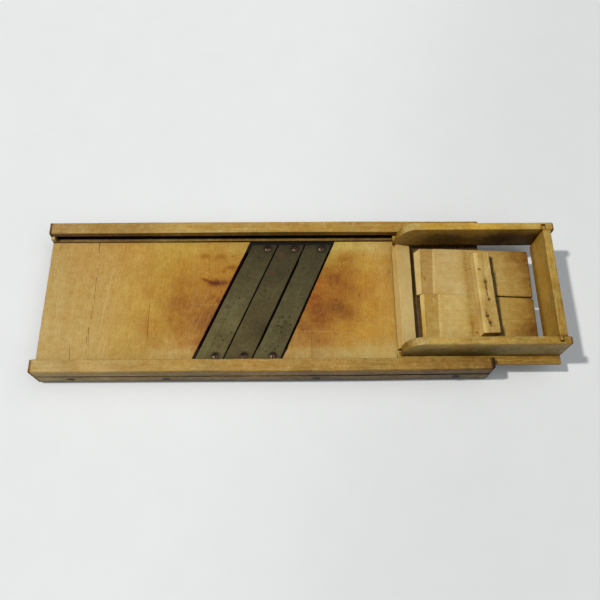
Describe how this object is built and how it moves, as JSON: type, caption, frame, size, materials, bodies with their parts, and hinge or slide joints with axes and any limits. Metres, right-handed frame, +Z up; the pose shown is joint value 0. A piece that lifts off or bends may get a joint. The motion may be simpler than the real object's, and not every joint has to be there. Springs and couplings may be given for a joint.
{
  "type": "kraut cutter",
  "caption": "Wooden vegetable slicing board with slanted steel blades, grooved side rails, a bottomless sliding box and a loose pusher.",
  "frame": {"origin": "middle of the whole cutter's footprint, on the underside of the rails, with the box pulled out at the right", "axes": "+X along the board towards the pulled-out box, +Y to the rear, +Z up"},
  "size_m": [0.7014, 0.222, 0.086],
  "materials": {
    "rail_wood": "worn, oiled",
    "bed_wood": "worn, stained orange by use",
    "box_wood": "worn, dull",
    "pusher_wood": "worn, dull",
    "pale_wood": "dull, bare",
    "blade_steel": "aged, grey-green patina",
    "old_iron": "brown, oxidised"
  },
  "bodies": {
    "board": {"rear_rail": "rail_wood", "front_rail": "rail_wood", "rear_groove_stop": "pale_wood", "front_groove_stop": "pale_wood", "bed_left_board": "bed_wood", "bed_left_inner_board": "bed_wood", "bed_right_inner_board": "bed_wood", "bed_right_board": "bed_wood", "rear_blade_ledge": "bed_wood", "front_blade_ledge": "bed_wood", "blade_1": "blade_steel", "blade_2": "blade_steel", "blade_3": "blade_steel", "blade_screws": "old_iron", "rail_screws": "old_iron"},
    "box": {"box_rear_side": "box_wood", "box_front_side": "box_wood", "box_end_board": "box_wood", "box_crosspiece": "pale_wood", "rear_runner": "pale_wood", "front_runner": "pale_wood", "end_board_nails": "old_iron", "crosspiece_nails": "old_iron", "runner_nails": "old_iron"},
    "pusher": {"pusher_rear_board": "pusher_wood", "pusher_front_board": "pusher_wood", "pusher_cleat": "pale_wood", "cleat_nails": "old_iron"}
  },
  "joints": [
    {"name": "box_slide", "type": "slide", "parent": "board", "child": "box", "axis": [1, 0, 0], "range_m": [-0.477, 0.1]},
    {"name": "pusher_lift", "type": "slide", "parent": "box", "child": "pusher", "axis": [0, 0, 1], "range_m": [0, 0.12]}
  ]
}
